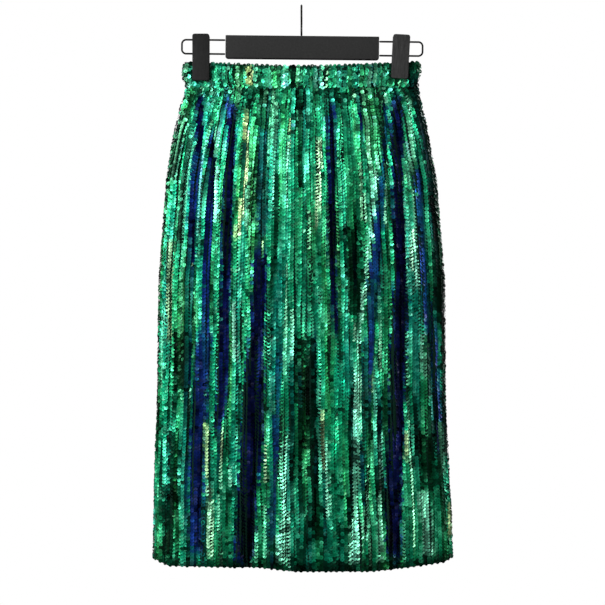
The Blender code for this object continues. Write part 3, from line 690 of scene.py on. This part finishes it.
def chain_places(side, first_drop, last_drop):
    """Where one side's sequins go, as rows by chains, and how the cloth lies under each."""
    rows = round((last_drop - first_drop) / CHAIN_PITCH)
    half_rows = np.linspace(first_drop + ROW_INSET, last_drop - ROW_INSET, 2 * rows)
    share = np.arange(CHAINS * FINE_STEPS + 1) / (CHAINS * FINE_STEPS)
    row, chain = np.meshgrid(np.arange(rows), np.arange(CHAINS), indexing="ij")
    grid = 2 * row + chain % 2, chain * FINE_STEPS + FINE_STEPS // 2
    middle, _ = surface(side, half_rows, share)
    felt, _ = surface(side, half_rows, share, np.interp(half_rows, FELT_LEVELS, GATHERS_FELT))
    across = unit(np.gradient(felt, axis=1))
    out = unit(np.cross(np.gradient(felt, axis=0), across))
    calm, calm_out = surface(side, half_rows, share, GATHERS_TINT)
    run = np.gradient(calm, axis=1)[grid]
    lean = np.arcsin(-(run[..., :2] * calm_out[grid]).sum(-1) / np.linalg.norm(run, axis=-1))
    at = SimpleNamespace(row=row, chain=chain, shape=row.shape, drop=half_rows[grid[0]], lean=lean)
    at.from_seam = np.minimum(share[grid[1]], 1.0 - share[grid[1]])
    at.from_end = np.minimum(row, rows - 1 - row)
    at.centre, at.across, at.out = middle[grid], across[grid], out[grid]
    at.to_key = -side * GLINT_TURN * at.centre[..., 0]
    return at


def first_look(rng, at):
    """Each sequin's turns and colour from ripples, jitter and flips, with painted light by level and a
    painted highlight on the brightest.
    """
    drop, shape = at.drop, at.shape
    wild = 1.0 + (TUMBLE - 1.0) * (1.0 - smooth((drop - BAND_HEIGHT) / (TUMBLE_ENDS - BAND_HEIGHT)))
    wild = wild + SIDE_RUFFLE * (1.0 - smooth(at.from_seam / SIDE_REACH))
    look = SimpleNamespace(led=np.zeros(shape), tint=np.full(shape, FOLD_TINT), gold=np.zeros(shape))
    look.yaw = YAW_RIPPLE * drifts(rng, shape, YAW_DRIFT)
    look.own_yaw = YAW_JITTER * rng.standard_normal(shape) * wild
    pitch = SHINGLE + PITCH_RIPPLE * drifts(rng, shape, PITCH_DRIFT)
    own_pitch = PITCH_JITTER * rng.standard_normal(shape) * wild
    look.pitch = pitch + own_pitch
    look.glint_pitch = np.interp(drop, (0.0, HEM_DROP), GLINT_PITCHES) + own_pitch

    flips = drifts(rng, shape, FLIPS_DRIFT) + FLIPS_OWN * rng.standard_normal(shape)
    flips /= flips.std()
    limit = np.quantile(flips, 1.0 - np.array(FLIP_SHARES))
    flipped = flips > np.interp(drop, FLIP_LEVELS, limit)
    shade = np.where(flipped, FLIPPED_SHADE, PLAIN_SHADE) + SHADE_SPREAD * rng.random(shape)
    ripple, jitter = drifts(rng, shape, SHADE_DRIFT), rng.standard_normal(shape)
    shade *= np.exp(SHADE_RIPPLE * ripple + SHADE_JITTER * jitter)
    # Painted highlight: the brightest sequins go toward mint.
    lit = np.clip(shade - 1.0, 0.0, 1.0)
    look.mint = np.interp(drop, LOOK_LEVELS, PALER) + PALE_LIGHTS * lit
    # Painted light by level.
    look.shade = shade * np.interp(drop, LOOK_LEVELS, PAINTED_LIGHT_BY_LEVEL)
    return look


def lay_strands(rng, at, look):
    """Short runs of chains are darkened, painted shade between chains, or face the key light and take
    mint, a painted highlight.
    """
    strands = drifts(rng, at.shape, STRANDS_DRIFT)
    dark = strands > np.quantile(strands, 1.0 - np.interp(at.drop, STRAND_LEVELS, DARK_STRANDS))
    glint = strands < np.quantile(strands, np.interp(at.drop, STRAND_LEVELS, GLINT_STRANDS))
    look.shade = np.where(dark, STRAND_SHADE * look.shade, look.shade)
    look.led = np.where(glint, -GLINT_YAW - at.to_key - at.lean, look.led)
    look.pitch = np.where(glint, look.glint_pitch, look.pitch)
    look.mint = np.where(glint, STRAND_MINT, look.mint)


def lay_streaks(rng, at, look, streaks):
    """Each streak takes hold of the sequins inside it. A blue one leans those beside it too."""
    for streak in (Streak(*row) for row in streaks):
        levels, middles = np.reshape(streak.path, (-1, 2)).T * MM
        t = (at.drop - levels[0]) / (levels[-1] - levels[0])
        off = np.abs(at.centre[..., 0] - np.interp(at.drop, levels, middles))
        ragged = STREAK_RAGGED * rng.standard_normal(at.shape)
        inside = 1.0 - off / (streak.width * MM / 2) + ragged
        ends = smooth(STREAK_ENDS * t) * smooth(STREAK_ENDS * (1 - t))
        held = smooth(inside / STREAK_SOFT + 0.5) * ends
        glints = bool(streak.mint or streak.gold)
        if streak.lean:
            turn = radians(streak.lean) - (at.to_key if glints else 0.0)
            wider = inside + FLANK_WIDTH / (streak.width / 2)
            flank = smooth(wider / STREAK_SOFT + 0.5) * ends if streak.lean > 0 else 0.0
            held_lean = FLANK_LEANS * flank + (1.0 - FLANK_LEANS * flank) * held
            look.led += held_lean * (turn - at.lean - look.led)
            look.tint = np.maximum(look.tint, held_lean)
        else:
            filled = rng.random(at.shape) < held * PATCH_FILL
            held = np.where(filled, 1.0, PATCH_REST * held)
        # A leaning streak paints shade below 1 and light above; a dark patch darkens flipped sequins,
        # and along the right edge paints shade.
        look.shade *= streak.shade**held
        look.mint += held * (streak.mint - look.mint)
        look.gold += held * (streak.gold - look.gold)
        if glints:
            look.pitch += held * (look.glint_pitch - look.pitch)


def stand_sequins(rng, at, look, wall):
    """Each sequin's middle and its own directions: across, down and out."""
    sway = CHAIN_SWAY * drifts(rng, at.shape, SWAY_DRIFT)
    centre = at.centre + at.across * sway[..., None]
    inward = smooth(at.from_end / END_ROWS)
    centre[..., 2] += CHAIN_SLIP * inward * drifts(rng, at.shape, SLIP_DRIFT, STRAY_LIMIT)
    lift = CHAIN_LIFT * drifts(rng, at.shape, LIFT_DRIFT, STRAY_LIMIT)
    across, out = turned(at.across, at.out, -(look.yaw + look.own_yaw + look.led))
    down = np.cross(across, out)
    out, down = turned(out, down, -look.pitch)
    return centre + out * (wall / 2 + SEQUIN_STANDS + lift[..., None]), across, down, out


def colour_sequins(rng, at, look):
    """Each sequin's red, green, blue and gloss."""
    mint, gold, shade = look.mint[..., None], look.gold[..., None], look.shade[..., None]
    coat = np.where(rng.random(at.shape) < SPARKLE_SHARE, 1.0, DULL_COAT)[..., None]
    coat = np.clip(np.maximum(coat, PALE_COAT * mint), 0.0, 1.0)
    gloss = np.clip(shade, LEAST_GLOSS, 1.0) * coat
    hue = drifts(rng, at.shape, HUE_DRIFT, HUE_LIMIT)[..., None]
    # Painted shade and highlight by how fold and sequin lean, with their iridescent hue.
    colour = iridescence_and_painted_light(look.tint * at.lean + look.led + SHEEN_FOLLOWS * look.yaw)
    green = colour[..., 1:2] / SHEEN_GREEN
    colour += green * (np.maximum(hue, 0) * GREENER + np.maximum(-hue, 0) * BLUER)
    colour += mint * (np.array(MINT) - colour)
    colour += gold * (np.array(GOLD) - colour)
    return np.concatenate([np.clip(colour, LEAST_COLOUR, 1.0) * shade, gloss], axis=-1)


def lay_sequins(name, side, first_drop, last_drop, wall, parts):
    """Sequins over one side between two levels, in so many pieces from the top down."""
    rng = np.random.default_rng(SEED + SEED_A_SIDE * side + int(SEED_A_METRE * first_drop))
    at = chain_places(side, first_drop, last_drop)
    look = first_look(rng, at)
    lay_strands(rng, at, look)
    lay_streaks(rng, at, look, FRONT_STREAKS if side < 0 else BACK_STREAKS)
    reach = beyond_jaws(at.centre)
    look.shade = np.where(reach < JAW_SHADOW, JAW_SHADE * look.shade, look.shade)
    stands = stand_sequins(rng, at, look, wall)
    colour = colour_sequins(rng, at, look)
    cell = np.stack([at.chain, at.row], axis=-1)
    keep = [a[reach >= JAW_CLEAR] for a in (*stands, colour, cell)]
    pieces = []
    for i, part in enumerate(np.array_split(np.arange(len(keep[0])), parts)):
        label = name if parts == 1 else f"{name}_{i + 1}"
        pieces.append(sequin_piece(label, *(a[part] for a in keep)))
    return pieces


def set_inputs(node, *values, **named):
    """Sets or links a node's inputs, in their order or by names with underscores for spaces.

    A node among the values stands for its first output."""
    named = {name.replace("_", " "): value for name, value in named.items()}
    for place, value in [*enumerate(values), *named.items()]:
        value = value.outputs[0] if isinstance(value, bpy.types.Node) else value
        if isinstance(value, bpy.types.NodeSocket):
            node.id_data.links.new(value, node.inputs[place])
        else:
            node.inputs[place].default_value = value
    return node


def new_node(tree, kind, *values, **named):
    return set_inputs(tree.nodes.new(f"ShaderNode{kind}"), *values, **named)


def new_material(name, **named):
    """A material, its node tree and its shader with these inputs."""
    made = bpy.data.materials.new(name)
    made.use_nodes = True
    tree = made.node_tree
    return made, tree, set_inputs(tree.nodes["Principled BSDF"], **named)


def mottle(shader, scale, dark, light, inset=0.0):
    """Mottles a shader's colour softly between two colours, and returns the noise."""
    noise = new_node(shader.id_data, "TexNoise", Scale=scale)
    ramp = new_node(shader.id_data, "ValToRGB", noise)
    for stop, place, colour in zip(ramp.color_ramp.elements, (inset, 1.0 - inset), (dark, light)):
        stop.position = place
        stop.color = (*colour, 1)
    set_inputs(shader, Base_Color=ramp)
    return noise


def roughen(shader, noise, strength, distance):
    """Raises a noise from a shader's surface as a fine grain."""
    bump = new_node(shader.id_data, "Bump", Strength=strength, Distance=distance, Height=noise)
    set_inputs(shader, Normal=bump)


def sequin_material():
    """Coloured foil under a clear coat. Each sequin brings its own colour, with painted shade and
    highlight in it, and its gloss.
    """
    made, tree, shader = new_material("sequins", Metallic=1.0, Roughness=0.40)
    own = new_node(tree, "Attribute")
    own.attribute_name = SEQUIN_COLOUR
    set_inputs(shader, Base_Color=own.outputs["Color"], Coat_Weight=own.outputs["Alpha"])
    set_inputs(shader, Coat_IOR=1.36, Coat_Roughness=0.15)
    return made


def cloth_material():
    """The dull dark green knit under the sequins."""
    made, _, shader = new_material("knit_backing", Roughness=0.9, Specular_IOR_Level=0.1)
    mottle(shader, 900.0, (0.0, 0.008, 0.005), (0.004, 0.03, 0.018))
    return made


def moulded_material(name, dark, light, drawn_out=1.0):
    """Black plastic with a fine grain over soft mottling, which may be drawn out upright."""
    made, tree, shader = new_material(name, Specular_IOR_Level=0.25)
    place = new_node(tree, "TexCoord").outputs["Object"]
    drawn = new_node(tree, "Mapping", place, Scale=(1.0, 1.0, 1.0 / drawn_out))
    mottling = mottle(shader, 420.0, (dark,) * 3, (light,) * 3, inset=0.3)
    set_inputs(mottling, drawn, Detail=4.0)
    set_inputs(shader, Roughness=new_node(tree, "MapRange", mottling, To_Min=0.48, To_Max=0.66))
    roughen(shader, new_node(tree, "TexNoise", drawn, Scale=1800.0), 0.2, 0.0002)
    return made


def wire_material():
    """Steel wire under a thin black coat, with faint unevenness."""
    made, _, shader = new_material("coated_wire", Specular_IOR_Level=0.12, Roughness=0.45)
    roughen(shader, mottle(shader, 700.0, (0.003,) * 3, (0.009,) * 3), 0.1, 0.0001)
    return made


def floor_material():
    """Pale, and paler to its rim, where it meets the white beyond. Seen from below it isn't there."""
    made, tree, shader = new_material("pale_floor", Roughness=0.9)
    mottle(shader, 6.0, (0.78, 0.78, 0.77), (0.84, 0.84, 0.83))
    distance = new_node(tree, "VectorMath", new_node(tree, "TexCoord").outputs["Object"])
    distance.operation = "LENGTH"
    ends = dict(From_Max=FLOOR_R, To_Min=FLOOR_GLOW, To_Max=1.0)
    white = new_node(tree, "MapRange", distance.outputs["Value"], **ends)
    white.interpolation_type = "SMOOTHSTEP"
    shown = new_node(tree, "Math", white, new_node(tree, "LightPath").outputs["Is Camera Ray"])
    shown.operation = "MULTIPLY"
    above = new_node(tree, "MixShader", shown, shader, new_node(tree, "Emission"))
    below = new_node(tree, "NewGeometry").outputs["Backfacing"]
    either = new_node(tree, "MixShader", below, above, new_node(tree, "BsdfTransparent"))
    set_inputs(tree.nodes["Material Output"], Surface=either)
    return made


def make_floor():
    """A pale round floor well below the hem, so that it stays under the camera's view."""
    disc = dict(vertices=FLOOR_SIDES, radius=FLOOR_R, fill_type="TRIFAN")
    bpy.ops.mesh.primitive_circle_add(location=(0.0, 0.0, FLOOR_Z), **disc)
    floor = bpy.context.object
    floor.name = "floor"
    floor.data.materials.append(floor_material())


def make_camera():
    """Level, square on to the front, framing the plane y = 0 as the photograph does."""
    data = bpy.data.cameras.new("camera")
    data.sensor_width = SENSOR_WIDTH
    data.lens = SENSOR_WIDTH * CAMERA_DISTANCE / (IMAGE_SIDE * METRES_A_PIXEL)
    camera = add_object("camera", data)
    x = (IMAGE_SIDE / 2 - CENTRE_PIXEL_X) * METRES_A_PIXEL
    z = BAR_TOP_Z - (IMAGE_SIDE / 2 - BAR_PIXEL_Y) * METRES_A_PIXEL
    camera.location = (x, -CAMERA_DISTANCE, z)
    camera.rotation_euler = (radians(90), 0.0, 0.0)
    bpy.context.scene.camera = camera


Softbox = namedtuple("Softbox", "name place width height power")
AIM = Vector((0.0, 0.0, -0.40))
ROOM_DIM, ROOM_BRIGHT = 0.28, 0.50  # the studio's walls, right and left of whoever looks
SOFTBOXES = (  # in front; the same three stand behind, half a turn round the skirt
    Softbox("key", (-2.0, -2.1, 1.1), 1.1, 1.8, 52),
    Softbox("fill", (-0.3, -3.4, 1.25), 3.2, 1.7, 14),
    Softbox("side", (-3.1, -0.5, 0.3), 1.2, 1.8, 22),
)


def make_lights():
    """Soft light on both sides of the skirt, for whoever looks at its front or its back."""
    for prefix, turn in (("", 1.0), ("back_", -1.0)):
        for box in SOFTBOXES:
            data = bpy.data.lights.new(prefix + box.name, "AREA")
            data.shape = "RECTANGLE"
            data.size, data.size_y = box.width, box.height
            data.energy = box.power
            lamp = add_object(data.name, data)
            lamp.location = Vector(box.place) * Vector((turn, turn, 1.0))
            lamp.rotation_euler = (AIM - lamp.location).to_track_quat("-Z", "Y").to_euler()
            lamp.visible_camera = False


def make_world():
    """Plain white to the camera, and to the skirt a room that is brighter to the viewer's left."""
    world = bpy.data.worlds.new("studio")
    world.use_nodes = True
    bpy.context.scene.world = world
    tree = world.node_tree
    toward = new_node(tree, "SeparateXYZ", new_node(tree, "TexCoord").outputs["Generated"])
    side = new_node(tree, "Math", toward.outputs["X"], toward.outputs["Y"])
    side.operation = "MULTIPLY"
    walls = dict(From_Min=-0.5, From_Max=0.5, To_Min=ROOM_DIM, To_Max=ROOM_BRIGHT)
    room = new_node(tree, "Background", Strength=new_node(tree, "MapRange", side, **walls))
    seen = set_inputs(tree.nodes["Background"], Color=(1.0, 1.0, 1.0, 1))
    straight = new_node(tree, "LightPath").outputs["Is Camera Ray"]
    set_inputs(tree.nodes["World Output"], new_node(tree, "MixShader", straight, room, seen))
    bpy.context.scene.view_settings.view_transform = "Standard"


def dress(piece, slot, *materials):
    """Gives a piece its materials and its body; its slot is not used."""
    for made in materials:
        piece.data.materials.append(made)
    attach(piece, "root")


def make_hanger():
    """The hanger's solids get their looks, and most of them a finer form in their place.

    Returns the front jaws' names."""
    grey = moulded_material("bar_plastic", 0.018, 0.027)
    # Painted shade along the bar's rounded bottom edge, which turns away from the lamps above.
    dark = moulded_material("bar_underside_painted_shade", 0.002, 0.004)
    # The clips are alike: the right one's plastic is painted lighter and the left one's darker, as
    # each looks under the lamps.
    clips = {
        "clip_left": moulded_material("left_clip_plastic_painted_shade", 0.007, 0.014, 3.0),
        "clip_right": moulded_material("right_clip_plastic_painted_light", 0.020, 0.042, 6.0),
    }
    wire = wire_material()
    for name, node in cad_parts.items():
        node.data.materials.clear()
        clip = name.rsplit("_", 2)[0] if name.endswith("back_jaw") else None
        node.data.materials.append(clips.get(clip, wire))

    depths, rounding = (-BAR_DEPTH / 2, BAR_DEPTH / 2), (BAR_TOP_R, BAR_BOTTOM_R, BAR_EDGE_R)
    bar = smooth_slab("bar", BAR_WIDTH, BAR_HEIGHT, *depths, *rounding)
    left = smooth_wire("loop_left", loop_path(-1), WIRE_R, (0, 1, 0))
    right = smooth_wire("loop_right", loop_path(1), WIRE_R, (0, 1, 0))
    for made in (bar, left, right):
        made.location = BAR_CENTRE
        made.rotation_euler.y = HANGER_TILT
    dress(bar, "black_plastic", grey, dark)
    # The faces along the bottom edge take the painted shade.
    for face in bar.data.polygons:
        face.material_index = int(face.center.z < BAR_SHADE_RISE - BAR_HEIGHT / 2)
    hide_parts("hanger_bar")
    for made, node in ((left, "wire_left"), (right, "wire_right")):
        dress(made, "black_wire", wire)
        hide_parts(node)

    inner, jaws = GRIP + BAND_WALL / 2 + GAP, []
    shaping = JAW_CORNER_R, JAW_CORNER_R, JAW_EDGE_R, JAW_FLARE, JAW_CROWN
    for each in CLIPS:
        size = CLIP_WIDTH, each.height, -inner - JAW_THICKNESS, -inner
        jaw = smooth_slab(f"jaw_{each.name}", *size, *shaping)
        jaw.location = (each.x, 0.0, each.top - each.height / 2)
        jaw.rotation_euler.y = each.lean
        dress(jaw, "black_plastic", clips[each.name])
        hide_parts(f"{each.name}_front_jaw")
        jaws.append(jaw.name)
    hook = smooth_wire("hook_wire", hook_path(), HOOK_WIRE_R, (1, 0, 0))
    dress(hook, "black_wire", wire)
    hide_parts("hook")
    return jaws


def main():
    make_camera()
    make_lights()
    make_world()
    make_floor()
    jaws = make_hanger()
    backing, sequins = cloth_material(), sequin_material()
    front, back, waist = make_cloth()
    around = []
    for panel, name, side in ((front, "front", -1), (back, "back", 1)):
        on_panel = lay_sequins(f"sequins_{name}", side, BAND_HEIGHT, HEM_DROP, PANEL_WALL, 2)
        on_casing = lay_sequins(f"sequins_waist_{name}", side, 0.0, BAND_HEIGHT, BAND_WALL, 1)
        for piece in on_panel + on_casing:
            dress(piece, "sequin_cloth", sequins)
        around += on_casing
    for piece, node in ((front, "front_panel"), (back, "back_panel"), (waist, "waistband")):
        dress(piece, "sequin_cloth", backing)
        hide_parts(node)


main()
